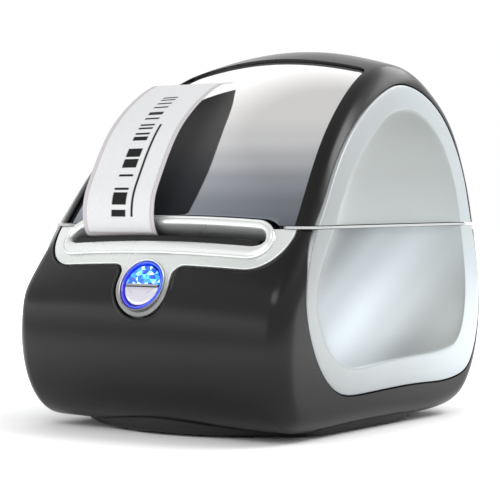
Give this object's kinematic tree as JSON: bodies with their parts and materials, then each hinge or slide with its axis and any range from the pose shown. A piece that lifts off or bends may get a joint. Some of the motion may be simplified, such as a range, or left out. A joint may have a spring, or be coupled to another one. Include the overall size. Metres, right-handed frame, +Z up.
{
  "type": "thermal label printer",
  "caption": "Desktop thermal label printer with a rounded black case, silver side panels, sloping mirrored window, lit feed button and a label strip leaving its front slot.",
  "frame": {"origin": "on the floor, under the middle of the outer box", "axes": "+X to the right of someone facing the front, +Y to the back, +Z up"},
  "size_m": [0.1276, 0.1581, 0.1491],
  "materials": {
    "black_gloss": "moulded ABS, polished black",
    "dark_matt": "fine textured dark grey ABS",
    "silver": "satin silver paint on ABS",
    "bright_silver": "bright silver paint on ABS",
    "window": "tinted, half mirrored acrylic",
    "paper": "white thermal label stock",
    "card": "spiral wound core board",
    "jewel": "clear blue, lit from behind",
    "rubber": "soft rubber",
    "platen_rubber": "ground silicone rubber",
    "steel": "zinc plated steel",
    "white_plastic": "natural acetal",
    "board": "green solder mask"
  },
  "bodies": {
    "housing": {"base_plate": "dark_matt", "base_screw_front_left": "steel", "base_screw_front_right": "steel", "base_screw_rear_left": "steel", "base_screw_rear_right": "steel", "button_board": "board", "button_light_ring": "jewel", "exit_slot_rim": "bright_silver", "feed_tray": "dark_matt", "frame_crossbar": "steel", "frame_plate_left": "steel", "frame_plate_right": "steel", "front_bezel": "bright_silver", "head_pivot_shaft": "steel", "head_spring": "steel", "hinge_bracket_left": "dark_matt", "hinge_bracket_right": "dark_matt", "idler_stud": "steel", "label_sensor": "dark_matt", "label_strip": "paper", "lower_housing": "black_gloss", "main_board": "board", "platen_bushing_left": "white_plastic", "platen_bushing_right": "white_plastic", "power_jack": "dark_matt", "rubber_foot_front_left": "rubber", "rubber_foot_front_right": "rubber", "rubber_foot_rear_left": "rubber", "rubber_foot_rear_right": "rubber", "side_panel_lower_left": "silver", "side_panel_lower_right": "silver", "status_led": "white_plastic", "status_light_lens": "jewel", "stepper_motor": "steel", "tear_bar": "dark_matt", "usb_socket": "steel"},
    "cover": {"cover_shell": "black_gloss", "cover_window": "window", "hinge_leaf_left": "dark_matt", "hinge_leaf_right": "dark_matt", "hinge_pin": "steel", "side_panel_upper_left": "silver", "side_panel_upper_right": "silver", "spool_cradle_left": "dark_matt", "spool_cradle_right": "dark_matt"},
    "spool": {"spool_spindle": "dark_matt", "roll_core": "card", "label_roll": "paper"},
    "ring": {"locking_ring": "dark_matt"},
    "button": {"feed_button": "silver"},
    "platen": {"platen_shaft": "steel", "platen_roller": "platen_rubber", "platen_gear": "white_plastic"},
    "idler": {"idler_gear": "white_plastic"},
    "pinion": {"motor_pinion": "steel"},
    "lever": {"release_lever": "white_plastic"},
    "head": {"head_bracket": "steel", "print_head": "white_plastic"},
    "guide": {"label_guide": "dark_matt"}
  },
  "joints": [
    {"name": "cover_hinge", "type": "hinge", "parent": "housing", "child": "cover", "pos_m": [0, 0.067, 0.088], "axis": [-1, 0, 0], "range_deg": [0, 85], "deforming": ["label_strip"]},
    {"name": "feed_button_press", "type": "slide", "parent": "housing", "child": "button", "axis": [0, 0.9104, -0.4137], "range_m": [0, 0.0008], "stiffness_N_per_m": 200},
    {"name": "platen_spin", "type": "hinge", "parent": "housing", "child": "platen", "pos_m": [0, -0.044, 0.0655], "axis": [1, 0, 0], "continuous": true},
    {"name": "idler_spin", "type": "hinge", "parent": "housing", "child": "idler", "pos_m": [0, -0.02522, 0.05376], "axis": [1, 0, 0], "continuous": true},
    {"name": "pinion_spin", "type": "hinge", "parent": "housing", "child": "pinion", "pos_m": [0, -0.01007, 0.04571], "axis": [1, 0, 0], "continuous": true},
    {"name": "release_lever_turn", "type": "hinge", "parent": "housing", "child": "lever", "pos_m": [0, -0.022, 0.079], "axis": [-1, 0, 0], "range_deg": [0, 25]},
    {"name": "head_lift", "type": "hinge", "parent": "housing", "child": "head", "pos_m": [0, -0.022, 0.079], "axis": [-1, 0, 0], "range_deg": [0, 4], "deforming": ["head_spring"]},
    {"name": "label_guide_slide", "type": "slide", "parent": "housing", "child": "guide", "axis": [1, 0, 0], "range_m": [0, 0.032]},
    {"name": "spool_spin", "type": "hinge", "parent": "cover", "child": "spool", "pos_m": [0, 0.014, 0.093], "axis": [1, 0, 0], "continuous": true},
    {"name": "locking_ring_slide", "type": "slide", "parent": "spool", "child": "ring", "axis": [1, 0, 0], "range_m": [0, 0.034]}
  ],
  "couplings": [
    {"joint": "idler_spin", "follows": "platen_spin", "ratio": -0.83333},
    {"joint": "pinion_spin", "follows": "platen_spin", "ratio": 2},
    {"joint": "head_lift", "follows": "release_lever_turn", "ratio": 0.16}
  ]
}
